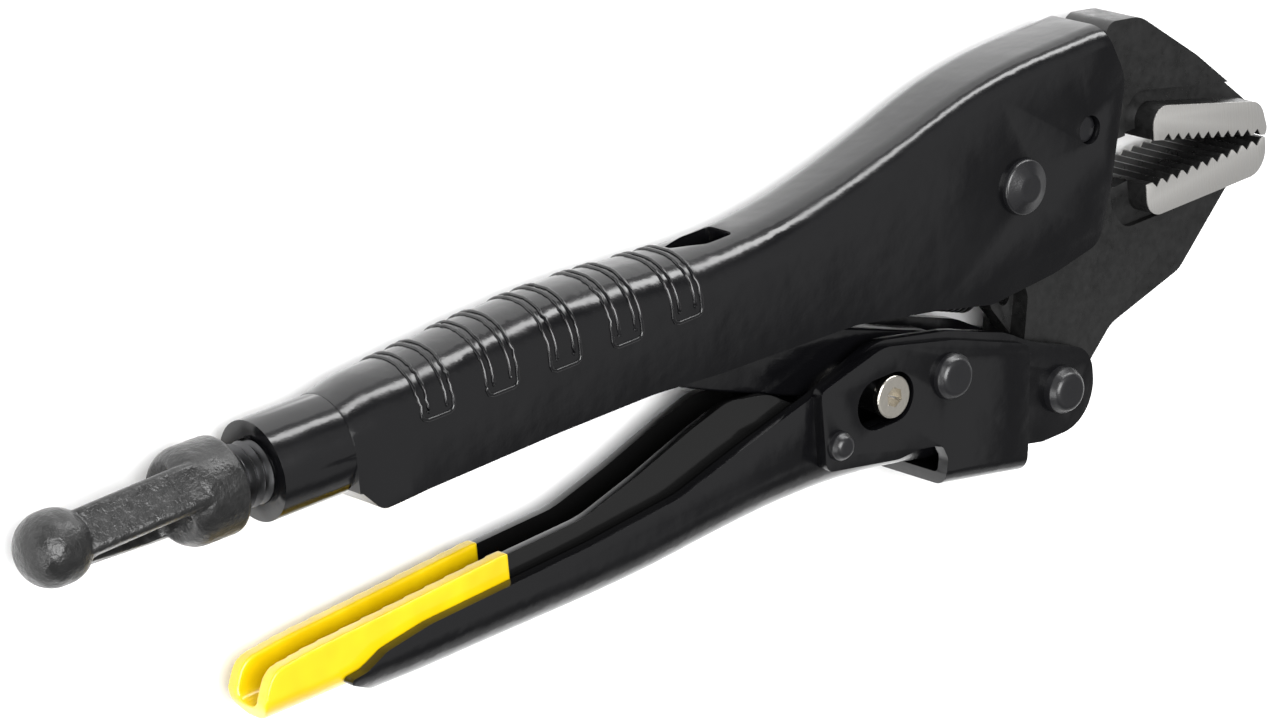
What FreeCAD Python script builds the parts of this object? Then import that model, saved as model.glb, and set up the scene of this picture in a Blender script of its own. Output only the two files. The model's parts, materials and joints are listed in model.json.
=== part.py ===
"""Locking pliers with straight jaws, lying on their side, as a parametric FreeCAD document.

Tool frame while modelling, in millimetres: X runs forward along the adjusting screw to the
jaws, Y runs up from the lower handle to the spine of the fixed handle, and Z runs across the
tool. The rear rim of the fixed handle's tube is at X = 0 and the screw's axis is Y = Z = 0.
At the end every piece is moved by one offset, so that the tool lies on Z = 0 and the middle of
its outline is over the origin.
"""
import FreeCAD, Part
import Sketcher
import math
import os

Vector = FreeCAD.Vector
Rotation = FreeCAD.Rotation

SIZES = {
    # across the tool
    "jaw_plate": 9.6,             # thickness of both jaws where they run between the walls
    "side_clearance": 0.2,        # each side, between a wall and what runs inside it
    "handle_sheet": 2.5,          # fixed handle
    "grip_extra_width": 0.7,      # how much wider each side of the grip is than the front
    "lower_sheet": 1.9,           # lower handle
    "saddle_sheet": 2.1,          # saddle wrapped round the lower handle
    "lever_sheet": 1.5,           # release lever
    "lever_width": 8.6,           # release lever, outside
    "coating": 0.4,               # dipped coating on the lever's tip
    "link_plate": 4.8,            # toggle link
    "pad_width": 15.7,            # jaw pads, across the teeth
    # fixed handle
    "tube_radius": 7.75,
    "tube_length": 16.0,
    "rod_radius": 4.95,           # adjusting screw, over the thread
    "running_fit": 0.05,          # radial, wherever a shaft turns in a hole
    # pivots
    "jaw_pivot_radius": 4.0,
    "jaw_pivot_head": 4.7,
    "lever_pivot_radius": 3.1,    # rivet between movable jaw and lower handle
    "lever_pivot_head": 4.0,
    "link_pivot_radius": 3.1,
    "link_pivot_head": 3.9,
    "release_pivot_radius": 1.7,
    "release_pivot_head": 2.4,
    "jaw_pin_radius": 2.4,
    "head_height": 1.9,
    "lever_head_height": 2.6,
    "far_head_height": 1.2,
    # jaws
    "tooth_pitch": 2.47,
    "tooth_depth": 1.2,
    "tooth_count": 10,
    "movable_tooth_count": 11,
    "pocket_depth": 1.3,          # hollow in both sides of each jaw, behind the pads
    "tip_gap": 0.3,
    "hub_radius": 12.0,
    "hub_gap": 0.4,
    # toggle
    "link_half_height": 5.4,
    "link_rear_radius": 3.6,
    "link_end_gap": 2.2,          # between the link's rear end and the screw's tip
    "stop_radius": 3.2,           # sleeve that the link rests on
    "stop_gap": 0.3,
    "stop_head": 3.55,
    "stop_socket": 3.0,           # across the flats of the hexagon socket
    "slot_radius": 4.2,
    "slot_travel": 4.0,
    # torque head
    "boss_radius": 7.5,
    "boss_length": 10.3,
    "boss_gap": 5.5,              # bare thread between the boss and the tube
    "knob_radius": 5.6,
    "knob_reach": 35.5,           # from the tube's rim back to the middle of the knob
    "arm_height": 7.1,
    "head_turn": 35.0,            # degrees that the head is turned about the screw's axis
    # spring
    "spring_radius": 3.2,
    "spring_wire": 1.0,
    "spring_hook": 2.6,           # radius of the hook at the jaw, to the middle of the wire
    "spring_eye_radius": 1.3,
    # where the pivots are
    "jaw_pivot_x": 152.0, "jaw_pivot_y": 1.7,
    "lever_pivot_x": 158.5, "lever_pivot_y": -35.4,
    "link_pivot_x": 131.8, "link_pivot_y": -24.3,
    "release_pivot_x": 106.5, "release_pivot_y": -28.2,
    "stop_x": 119.1, "stop_y": -24.0,
    "link_end_x": 62.0,
    "jaw_pin_x": 168.0, "jaw_pin_y": 6.9,
    "spring_eye_x": 152.0, "spring_eye_y": -18.6,
    "spring_tab_x": 92.5, "spring_tab_y": 4.6,
}

doc = FreeCAD.newDocument("locking_pliers")
sheet = doc.addObject("Spreadsheet::Sheet", "Sizes")
for row, (alias, value) in enumerate(SIZES.items(), start=1):
    sheet.set(f"A{row}", alias.replace("_", " "))
    sheet.set(f"B{row}", str(value))
    sheet.setAlias(f"B{row}", alias)
doc.recompute()


def size(alias):
    """The value of a cell of the sheet."""
    return float(sheet.get(alias))


# ---------------------------------------------------------------- outlines

def rounded(points):
    """Lines and arcs round a closed outline of (x, y) or (x, y, corner radius) points."""
    corners = [Vector(p[0], p[1], 0) for p in points]
    radii = [p[2] if len(p) > 2 else 0.0 for p in points]
    count = len(points)
    ends = []
    for i in range(count):
        here = corners[i]
        back = (corners[i - 1] - here).normalize()
        ahead = (corners[(i + 1) % count] - here).normalize()
        if radii[i] <= 0:
            ends.append((here, None, here))
            continue
        half = back.getAngle(ahead) / 2
        setback = radii[i] / math.tan(half)
        middle = here + (back + ahead).normalize() * (radii[i] / math.sin(half) - radii[i])
        ends.append((here + back * setback, middle, here + ahead * setback))
    shapes = []
    for i in range(count):
        start, middle, stop = ends[i]
        if middle is not None:
            shapes.append(Part.Arc(start, middle, stop))
        following = ends[(i + 1) % count][0]
        if (following - stop).Length > 1e-6:
            shapes.append(Part.LineSegment(stop, following))
    return shapes


def face_of(points):
    """A flat face in the XY plane inside a rounded outline."""
    wire = Part.Wire([Part.Edge(shape) if not hasattr(shape, "toShape") else shape.toShape()
                      for shape in rounded(points)])
    return Part.Face(wire)


def slab(points, half):
    """A solid of a side outline, reaching half to each side of the tool's middle."""
    face = face_of(points)
    face.translate(Vector(0, 0, -half))
    return face.extrude(Vector(0, 0, 2 * half))


def rod(x, y, radius, low, high):
    """A round solid across the tool, between two heights."""
    return Part.makeCylinder(radius, high - low, Vector(x, y, low), Vector(0, 0, 1))


def along(x0, x1, radius):
    """A round solid on the screw's axis, between two stations."""
    return Part.makeCylinder(radius, x1 - x0, Vector(x0, 0, 0), Vector(1, 0, 0))


# ---------------------------------------------------------------- document objects

def plane(body, role):
    for feature in body.Origin.OriginFeatures:
        if feature.Role == role:
            return feature


def new_body(name):
    body = doc.addObject("PartDesign::Body", name)
    body.Label = name
    return body


def sketch_on(body, name, role, shapes):
    """A sketch of ready shapes on one of the body's origin planes."""
    sketch = body.newObject("Sketcher::SketchObject", name)
    sketch.AttachmentSupport = [(plane(body, role), "")]
    sketch.MapMode = "FlatFace"
    for shape in shapes:
        if isinstance(shape, Part.Arc):
            circle = shape.toShape().Curve
            first, last = shape.toShape().ParameterRange
            shape = Part.ArcOfCircle(circle, first, last)
        sketch.addGeometry(shape, False)
    return sketch


def circle_on(body, name, x, y, radius_expression):
    """A sketch of one circle whose radius is bound to the sheet."""
    sketch = body.newObject("Sketcher::SketchObject", name)
    sketch.AttachmentSupport = [(plane(body, "XY_Plane"), "")]
    sketch.MapMode = "FlatFace"
    sketch.addGeometry(Part.Circle(Vector(x, y, 0), Vector(0, 0, 1), 1.0), False)
    sketch.addConstraint(Sketcher.Constraint("Radius", 0, 1.0))
    sketch.setExpression("Constraints[0]", radius_expression)
    return sketch


def pad(body, sketch, length_expression):
    """A pad of the sketch, half to each side of the tool's middle."""
    made = body.newObject("PartDesign::Pad", sketch.Name + "_pad")
    made.Profile = sketch
    made.SideType = "Symmetric"
    made.setExpression("Length", length_expression)
    doc.recompute()
    return made


def pocket(body, sketch, length_expression):
    """A pocket through the middle; it has to take something away."""
    before = body.Shape.Volume
    made = body.newObject("PartDesign::Pocket", sketch.Name + "_pocket")
    made.Profile = sketch
    made.SideType = "Symmetric"
    made.setExpression("Length", length_expression)
    doc.recompute()
    if body.Shape.Volume >= before - 1e-6:
        raise ValueError(f"{made.Name} cuts nothing")
    return made


def hole(body, name, x, y, radius_expression):
    return pocket(body, circle_on(body, name, x, y, radius_expression), "Sizes.pad_width * 2")


def turned(name, profile, x, y):
    """A turned piece across the tool: its profile holds (radius, height, corner radius)."""
    body = new_body(name)
    sketch = sketch_on(body, name + "_profile", "XZ_Plane", rounded(profile))
    made = body.newObject("PartDesign::Revolution", name + "_turn")
    made.Profile = sketch
    made.ReferenceAxis = (sketch, ["V_Axis"])
    made.Angle = 360
    doc.recompute()
    body.Placement = FreeCAD.Placement(Vector(x, y, 0), Rotation())
    return body


def formed(name, shape):
    """A formed or forged piece whose shape is made with Part's own functions."""
    made = doc.addObject("Part::Feature", name)
    made.Label = name
    solids = shape.Solids
    made.Shape = solids[0] if len(solids) == 1 else Part.makeCompound(solids)
    return made


# ---------------------------------------------------------------- shared places

WALL = size("jaw_plate") / 2 + size("side_clearance")       # inside face of each wall
HANDLE_SIDE = WALL + size("handle_sheet")                   # outside face of the fixed handle
LOWER_SIDE = WALL + size("lower_sheet")                     # outside face of the lower handle
SADDLE_SIDE = LOWER_SIDE + size("saddle_sheet")             # outside face of the saddle
JAW_PIVOT = Vector(size("jaw_pivot_x"), size("jaw_pivot_y"), 0)
LEVER_PIVOT = Vector(size("lever_pivot_x"), size("lever_pivot_y"), 0)
LINK_PIVOT = Vector(size("link_pivot_x"), size("link_pivot_y"), 0)
RELEASE_PIVOT = Vector(size("release_pivot_x"), size("release_pivot_y"), 0)
STOP = Vector(size("stop_x"), size("stop_y"), 0)
LINK_END = Vector(size("link_end_x"), 0, 0)
BELOW = -60.0                                               # well under the whole tool
ABOVE = 40.0                                                # well over the whole tool


def channel_section(station, closed, open_end, half, corner):
    """One closed section across a channel, with rounded corners on its closed side."""
    side = 1 if closed > open_end else -1
    corner = min(corner, half - 0.3)
    bend = corner * (1 - math.sqrt(0.5))
    low = closed - side * corner
    at = lambda z, y: Vector(station, y, z)
    return Part.Wire([
        Part.LineSegment(at(-half, open_end), at(-half, low)).toShape(),
        Part.Arc(at(-half, low), at(-half + bend, closed - side * bend),
                 at(-half + corner, closed)).toShape(),
        Part.LineSegment(at(-half + corner, closed), at(half - corner, closed)).toShape(),
        Part.Arc(at(half - corner, closed), at(half - bend, closed - side * bend),
                 at(half, low)).toShape(),
        Part.LineSegment(at(half, low), at(half, open_end)).toShape(),
        Part.LineSegment(at(half, open_end), at(-half, open_end)).toShape()])


def channel(stations, open_end, sheet_thickness=0.0):
    """A solid through sections (station, closed side, half width, corner), set in by a sheet."""
    wires = []
    for station, closed, half, corner in stations:
        inward = sheet_thickness if closed > open_end else -sheet_thickness
        wires.append(channel_section(station, closed - inward, open_end,
                                     half - sheet_thickness,
                                     max(corner - sheet_thickness, 0.8)))
    return Part.makeLoft(wires, True, False)


# ---------------------------------------------------------------- fixed handle

def grip_half(share):
    """Half width of the fixed handle: share is 1 along the grip and 0 at the front."""
    return HANDLE_SIDE + share * size("grip_extra_width")


def make_fixed_handle():
    """Sheet folded over the spine, rolled into a tube at the rear and open underneath."""
    sheet_thickness = size("handle_sheet")
    tube = size("tube_radius")
    stations = [
        (13.0, tube, tube, tube - 0.3),
        (14.5, tube + 0.35, tube + 0.1, tube - 0.2),
        (18.5, 9.0, grip_half(0.95), 7.8),
        (24.0, 9.4, grip_half(1.0), 7.8),
        (34.0, 10.2, grip_half(1.0), 7.7),
        (48.0, 11.2, grip_half(1.0), 7.6),
        (63.0, 11.4, grip_half(0.95), 7.4),
        (78.0, 10.5, grip_half(0.75), 7.0),
        (92.0, 10.0, grip_half(0.45), 6.3),
        (107.0, 11.5, grip_half(0.2), 5.5),
        (123.0, 15.0, grip_half(0.05), 4.6),
        (138.0, 19.2, grip_half(0.0), 3.9),
        (152.0, 21.9, grip_half(0.0), 3.6),
        (166.0, 22.8, grip_half(0.0), 3.5),
        (184.0, 23.4, grip_half(0.0), 3.5)]
    outside = channel(stations, BELOW / 2)
    inside = channel(stations, BELOW / 2, sheet_thickness)
    inside = inside.cut(slab([(0, ABOVE), (size("tube_length"), ABOVE),
                              (size("tube_length"), BELOW), (0, BELOW)], ABOVE))
    kept = slab([
        (0, ABOVE), (0, -6.0), (13.4, -6.0, 1.0), (16.6, -9.6, 2.4), (25, -9.1, 12),
        (50, -8.4, 40), (70, -8.3, 40), (84, -9.3, 30), (113, -10.3, 20),
        (131, -13.3, 25), (143.5, -16.0, 8), (158, -14.9, 12), (168.8, -12.8, 4),
        (172.2, -4.0, 25), (177.0, 13.5, 7), (172.6, 24.0), (172.6, ABOVE)], ABOVE)
    handle = outside.cut(inside).common(kept)
    handle = handle.fuse(along(0, size("tube_length"), tube))
    handle = handle.cut(along(-1, size("tube_length") + 6,
                              size("rod_radius") + size("running_fit")))
    # crescent lanced out of the spine; its tongue hangs inside and holds the spring
    tab = size("spring_tab_x")
    crescent = face_of([(tab - 10.5, -0.6, 0.5), (tab - 5.0, -2.9, 4.0), (tab + 0.6, -2.9, 0.8),
                        (tab + 0.6, 2.9, 0.8), (tab - 5.0, 2.9, 4.0), (tab - 10.5, 0.6, 0.5)])
    crescent.rotate(Vector(), Vector(1, 0, 0), 90)
    handle = handle.cut(crescent.translated(Vector(0, 20, 0)).extrude(Vector(0, -15, 0)))
    foot = size("spring_tab_y") - 2.6
    tongue = slab([(tab + 0.5, 9.8), (tab + 2.2, 9.8), (tab + 2.2, foot, 0.6),
                   (tab + 0.5, foot, 0.6)], 2.9)
    eye = Part.makeCylinder(size("spring_eye_radius"), 8,
                            Vector(tab - 2, size("spring_tab_y"), 0), Vector(1, 0, 0))
    handle = handle.fuse(tongue.cut(eye))
    for x, y, radius in [(JAW_PIVOT.x, JAW_PIVOT.y, size("jaw_pivot_radius")),
                         (size("jaw_pin_x"), size("jaw_pin_y"), size("jaw_pin_radius"))]:
        handle = handle.cut(rod(x, y, radius, -ABOVE, ABOVE))
    return formed("fixed_handle", handle.removeSplitter())


# ---------------------------------------------------------------- jaws

# The two rows of teeth meet at the front and open to the rear.
FIXED_TEETH_REAR = Vector(183.3, 0.95, 0)
FIXED_TEETH_FRONT = Vector(209.5, -5.3, 0)
MOVABLE_TEETH_FRONT = FIXED_TEETH_FRONT - Vector(0, size("tip_gap"), 0)
MOVABLE_TEETH_REAR = MOVABLE_TEETH_FRONT - Vector(28.6, 0.35, 0)


def teeth(body, name, front, rear, inward, count):
    """V notches across a jaw, one pitch apart from the front, cut to the side inward."""
    direction = (rear - front).normalize()
    across = Vector(-direction.y, direction.x, 0)
    if across.y * inward < 0:
        across = across * -1
    pitch = size("tooth_pitch")
    shapes = []
    for number in range(int(count)):
        low = front + direction * (pitch * (number + 0.4)) - across * 0.05
        high = low + direction * (pitch * 0.88)
        root = (low + high) * 0.5 + across * size("tooth_depth")
        corners = [low, high, root]
        for i in range(3):
            shapes.append(Part.LineSegment(corners[i], corners[(i + 1) % 3]))
    sketch = sketch_on(body, name, "XY_Plane", shapes)
    pocket(body, sketch, "Sizes.pad_width + 2")


def side_pockets(body, name, outline):
    """The same shallow hollow pressed into both sides of a jaw's plate."""
    for side in (1, -1):
        before = body.Shape.Volume
        sketch = sketch_on(body, f"{name}_{'near' if side > 0 else 'far'}", "XY_Plane",
                           rounded(outline))
        sketch.AttachmentOffset = FreeCAD.Placement(
            Vector(0, 0, side * size("jaw_plate") / 2), Rotation())
        made = body.newObject("PartDesign::Pocket", sketch.Name + "_pocket")
        made.Profile = sketch
        made.Reversed = side < 0
        made.setExpression("Length", "Sizes.pocket_depth")
        doc.recompute()
        if body.Shape.Volume >= before - 1e-6:
            raise ValueError(f"{made.Name} cuts nothing")


def make_fixed_jaw():
    """Forging held in the front of the fixed handle."""
    body = new_body("fixed_jaw")
    hub = size("hub_radius") + size("hub_gap")
    rear_edge = JAW_PIVOT.x - 5.0
    start = Vector(rear_edge, JAW_PIVOT.y + math.sqrt(hub ** 2 - 5.0 ** 2), 0)
    middle = JAW_PIVOT + Vector(math.cos(math.radians(55)), math.sin(math.radians(55)), 0) * hub
    floor = 2.4
    stop = Vector(JAW_PIVOT.x + math.sqrt(hub ** 2 - (floor - JAW_PIVOT.y) ** 2), floor, 0)
    outer = rounded([
        (stop.x, stop.y), (183.0, floor), (FIXED_TEETH_REAR.x, FIXED_TEETH_REAR.y),
        (FIXED_TEETH_FRONT.x, FIXED_TEETH_FRONT.y), (210.2, -4.4, 1.0), (210.2, -0.4, 3.0),
        (197.0, 11.6, 18), (184.0, 21.6, 6.0), (176.4, 22.6, 2.4), (175.3, 19.9, 0.5),
        (150.0, 18.5, 3.0), (rear_edge, start.y)])
    # the last line of the outline is replaced by the arc round the hub of the movable jaw
    outer = outer[:-1] + [Part.Arc(start, middle, stop)]
    pad(body, sketch_on(body, "fixed_jaw_plate", "XY_Plane", outer), "Sizes.jaw_plate")
    side_pockets(body, "fixed_jaw_hollow", [
        (178.7, -2.0), (179.0, 6.5, 2.5), (182.0, 9.3, 3.5), (206.0, 4.6), (212.0, 3.4),
        (212.0, -2.0)])
    slope = (FIXED_TEETH_FRONT - FIXED_TEETH_REAR).normalize()
    foot = FIXED_TEETH_REAR - slope * 0.7
    flange = rounded([
        (foot.x, foot.y), (foot.x, 7.1, 3.0), (208.9, 0.8, 3.6),
        (210.2, -4.4, 1.6), (FIXED_TEETH_FRONT.x, FIXED_TEETH_FRONT.y)])
    pad(body, sketch_on(body, "fixed_jaw_pad", "XY_Plane", flange), "Sizes.pad_width")
    teeth(body, "fixed_jaw_teeth", FIXED_TEETH_FRONT, FIXED_TEETH_REAR, 1, size("tooth_count"))
    hole(body, "fixed_jaw_pin_hole", size("jaw_pin_x"), size("jaw_pin_y"),
         "Sizes.jaw_pin_radius")
    return body


def make_movable_jaw():
    """Forging that turns on the jaw pivot and ends in a tang between the lower handle's ears."""
    body = new_body("movable_jaw")
    hub = size("hub_radius")
    tang = size("lever_pivot_head") + 2.2
    top = JAW_PIVOT + Vector(-hub * 0.35, math.sqrt(1 - 0.35 ** 2) * hub, 0)
    right_angle = math.radians(-22)
    right = JAW_PIVOT + Vector(math.cos(right_angle), math.sin(right_angle), 0) * hub
    left_angle = math.radians(-100)
    left = JAW_PIVOT + Vector(math.cos(left_angle), math.sin(left_angle), 0) * hub
    far = JAW_PIVOT + Vector(-hub, 0, 0)
    over = JAW_PIVOT + Vector(math.cos(math.radians(40)), math.sin(math.radians(40)), 0) * hub
    plate = rounded([
        (right.x, right.y), (172.0, -6.6, 8), (MOVABLE_TEETH_REAR.x, MOVABLE_TEETH_REAR.y),
        (MOVABLE_TEETH_FRONT.x, MOVABLE_TEETH_FRONT.y), (209.5, -9.4, 3.0), (202.6, -13.2, 6),
        (190.2, -24.2, 5), (173.2, -28.8, 6), (168.3, -33.2, 4),
        (LEVER_PIVOT.x + tang, LEVER_PIVOT.y - 1.0, 3),
        (LEVER_PIVOT.x + tang, LEVER_PIVOT.y - tang, tang - 0.1),
        (LEVER_PIVOT.x - tang, LEVER_PIVOT.y - tang, tang - 0.1),
        (LEVER_PIVOT.x - tang, -28.0, 6), (154.4, -17.8, 4), (left.x, left.y)])
    plate = plate[:-1] + [Part.Arc(left, far, top), Part.Arc(top, over, right)]
    pad(body, sketch_on(body, "movable_jaw_plate", "XY_Plane", plate), "Sizes.jaw_plate")
    side_pockets(body, "movable_jaw_hollow", [
        (174.4, -3.0), (174.8, -9.0, 3.0), (177.5, -13.4, 3.5), (195.5, -13.3, 1.5),
        (197.0, -8.0), (197.0, -7.0), (190.0, -5.0)])
    slope = (MOVABLE_TEETH_FRONT - MOVABLE_TEETH_REAR).normalize()
    foot = MOVABLE_TEETH_REAR - slope * 0.7
    flange = rounded([
        (foot.x, foot.y), (MOVABLE_TEETH_FRONT.x, MOVABLE_TEETH_FRONT.y),
        (209.5, -11.6, 4.2), (foot.x, -11.9, 3.2)])
    pad(body, sketch_on(body, "movable_jaw_pad", "XY_Plane", flange), "Sizes.pad_width")
    eye_x = size("spring_eye_x")
    eye_y = size("spring_eye_y")
    tab = rounded([(157.0, eye_y + 5.5), (eye_x - 3.0, eye_y + 3.0, 1.2),
                   (eye_x - 3.2, eye_y - 0.8, 1.4), (154.6, eye_y - 8.9), (157.0, eye_y - 8.9)])
    pad(body, sketch_on(body, "movable_jaw_tab", "XY_Plane", tab), "3.0")
    teeth(body, "movable_jaw_teeth", MOVABLE_TEETH_FRONT, MOVABLE_TEETH_REAR, -1,
          size("movable_tooth_count"))
    hole(body, "movable_jaw_pivot_hole", JAW_PIVOT.x, JAW_PIVOT.y,
         "Sizes.jaw_pivot_radius + Sizes.running_fit")
    hole(body, "movable_jaw_tang_hole", LEVER_PIVOT.x, LEVER_PIVOT.y,
         "Sizes.lever_pivot_radius + Sizes.running_fit")
    hole(body, "movable_jaw_spring_hole", eye_x, eye_y, "Sizes.spring_eye_radius")
    return body


# ---------------------------------------------------------------- lower handle

LOWER_STATIONS = [
    (7.0, -39.4), (20.0, -39.3), (34.0, -39.2), (52.0, -39.0), (70.0, -38.4), (85.0, -37.2),
    (98.0, -36.6), (110.0, -36.9), (121.0, -38.2), (133.0, -40.4), (145.0, -42.0),
    (157.0, -42.6), (170.0, -42.8)]
EAR_RADIUS = size("lever_pivot_head") + 3.7


def lower_channel(outset, inset=0.0):
    """The lower handle's channel, moved out or in by a distance; it is open upwards."""
    stations = []
    for station, closed in LOWER_STATIONS:
        half = LOWER_SIDE + outset
        stations.append((station, closed - outset, half, half - 0.5))
    return channel(stations, ABOVE / 4, inset)


def lower_top_edge():
    """Upper edge of the lower handle's side walls, rear to front."""
    return [
        (7.4, -34.5, 0.6), (11.4, -34.0, 3), (15.4, -32.0, 4), (24.0, -30.6, 8), (57, -28.8, 30),
        (75, -27.0, 18), (88, -23.4, 18), (104, -19.4, 14), (118, -14.6, 9), (134, -17.7, 24),
        (147, -22.1, 16), (152, -25.1, 20), (LEVER_PIVOT.x + EAR_RADIUS, LEVER_PIVOT.y + EAR_RADIUS - 2.9, 5.5)]


def make_lower_handle():
    """Channel of sheet: the lever's tip lies in its rear, two ears hold the jaw at the front."""
    wall = size("lower_sheet")
    ears_start = 147.0
    behind = [(-20, ABOVE), (ears_start, ABOVE), (ears_start, BELOW), (-20, BELOW)]
    blank = lower_channel(0).cut(lower_channel(0, wall)).common(slab(behind, ABOVE))
    # the floor stops short of the ears, which are flat plates down to their rounded ends
    front = LEVER_PIVOT.x + EAR_RADIUS
    low = LEVER_PIVOT.y - EAR_RADIUS
    kept = ([(18.4, BELOW), (18.4, -40.6)] + lower_top_edge()
            + [(front, low, EAR_RADIUS - 0.1), (153.5, low, 4.0), (ears_start, -41.8)])
    handle = blank.common(slab(kept + [(ears_start - 1.0, BELOW)], ABOVE))
    ears = slab([(ears_start, ABOVE), (front + 5, ABOVE), (front + 5, BELOW),
                 (ears_start, BELOW)], LOWER_SIDE)
    ears = ears.cut(slab([(ears_start - 5, ABOVE + 5), (front + 9, ABOVE + 5),
                          (front + 9, BELOW - 5), (ears_start - 5, BELOW - 5)], WALL))
    handle = handle.fuse(ears.common(slab(kept + [(ears_start - 1.0, BELOW)], ABOVE)))
    handle = handle.cut(rod(LEVER_PIVOT.x, LEVER_PIVOT.y, size("lever_pivot_radius"),
                            -ABOVE, ABOVE))
    handle = handle.cut(rod(LINK_PIVOT.x, LINK_PIVOT.y, size("link_pivot_radius"),
                            -ABOVE, ABOVE))
    handle = handle.cut(rod(RELEASE_PIVOT.x, RELEASE_PIVOT.y, size("release_pivot_radius"),
                            -ABOVE, ABOVE))
    handle = handle.cut(stop_slot())
    return formed("lower_handle", handle.removeSplitter())


def stop_slot():
    """The slot through the lower handle and the saddle, in which the stop is set."""
    radius = size("slot_radius")
    travel = size("slot_travel")
    return slab([(STOP.x - travel - radius, STOP.y - radius, radius - 0.01),
                 (STOP.x + radius, STOP.y - radius, radius - 0.01),
                 (STOP.x + radius, STOP.y + radius, radius - 0.01),
                 (STOP.x - travel - radius, STOP.y + radius, radius - 0.01)], ABOVE)


# the saddle's fold is square with rounded corners and hangs a little below the handle
SADDLE_STATIONS = [(96.0, -36.5), (133.4, -43.5), (152.0, -47.0)]
SADDLE_BEND = 3.0


def make_saddle():
    """Plate folded under the lower handle: two cheeks joined by a web below."""
    sheet_thickness = size("saddle_sheet")
    stations = [(station, closed, SADDLE_SIDE, SADDLE_BEND) for station, closed in SADDLE_STATIONS]
    fold = channel(stations, ABOVE / 4).cut(channel(stations, ABOVE / 4, sheet_thickness))
    outline = slab([
        (103.5, -18.4, 1.4), (117.6, -15.0, 9.0), (133.0, -18.5, 18), (150.0, -24.4, 2.2),
        (148.2, -41.0, 6), (145.4, BELOW), (130.6, BELOW), (129.3, -40.6, 0.8),
        (129.9, -38.0, 1.2), (128.8, -35.3, 1.6), (124.0, -34.4, 3), (119.0, -34.6, 6),
        (103.4, -31.8, 1.6)], ABOVE)
    saddle = fold.common(outline)
    for centre, radius in [(LINK_PIVOT, size("link_pivot_radius")),
                           (RELEASE_PIVOT, size("release_pivot_radius"))]:
        saddle = saddle.cut(rod(centre.x, centre.y, radius, -ABOVE, ABOVE))
    saddle = saddle.cut(stop_slot())
    return formed("saddle_plate", saddle.removeSplitter())


# ---------------------------------------------------------------- release lever

LEVER_STATIONS = [
    (-12.0, -36.8), (8.0, -36.8), (30.0, -36.6), (44.0, -36.2), (58.0, -35.3), (72.0, -33.8),
    (84.0, -32.4), (96.0, -31.8), (112.0, -31.6)]
COATING_END = 41.5


def lever_outline():
    """Side outline of the release lever; its floor follows the stations."""
    nose = size("release_pivot_radius") + 1.7
    x, y = RELEASE_PIVOT.x, RELEASE_PIVOT.y
    return [
        (-4.2, BELOW), (-4.3, -37.2, 1.0), (-5.7, -34.0, 2.5), (-3.6, -29.5, 3.4),
        (4.0, -28.6, 14), (22, -27.4, 60), (42, -26.0, 30), (57, -25.3, 16), (68, -22.2, 16),
        (80, -18.2, 14), (88, -16.0, 7), (96.5, -17.4, 8), (x - 2.0, y + 5.6, 6), (x + nose, y + nose, nose),
        (x + nose, y - nose, nose - 0.05), (x - 8, y - nose - 0.4), (x - 20, BELOW)]


def lever_channel(outset, inset):
    half = size("lever_width") / 2 + outset
    stations = [(station, closed - outset, half, half - 0.4) for station, closed in LEVER_STATIONS]
    return channel(stations, ABOVE / 4, inset)


def lever_solid():
    sheet_thickness = size("lever_sheet")
    blank = lever_channel(0, 0).cut(lever_channel(0, sheet_thickness))
    lever = blank.common(slab(lever_outline(), ABOVE))
    return lever.cut(rod(RELEASE_PIVOT.x, RELEASE_PIVOT.y,
                         size("release_pivot_radius") + size("running_fit"), -ABOVE, ABOVE))


def make_release_lever():
    """Narrow channel nested in the lower handle; its humped sides straddle the link."""
    return formed("release_lever", lever_solid())


def make_release_coating():
    """Dipped coating all round the free end of the release lever."""
    coat = size("coating")
    skin = lever_channel(coat, 0).cut(lever_channel(coat, size("lever_sheet") + 2 * coat))
    outline = face_of(lever_outline()).makeOffset2D(coat)
    outline.translate(Vector(0, 0, -ABOVE))
    skin = skin.common(outline.extrude(Vector(0, 0, 2 * ABOVE)))
    skin = skin.cut(slab([(COATING_END, ABOVE), (ABOVE * 5, ABOVE), (ABOVE * 5, BELOW),
                          (COATING_END, BELOW)], ABOVE))
    return formed("release_tip_coating", skin.cut(lever_solid()))


# ---------------------------------------------------------------- toggle

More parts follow.
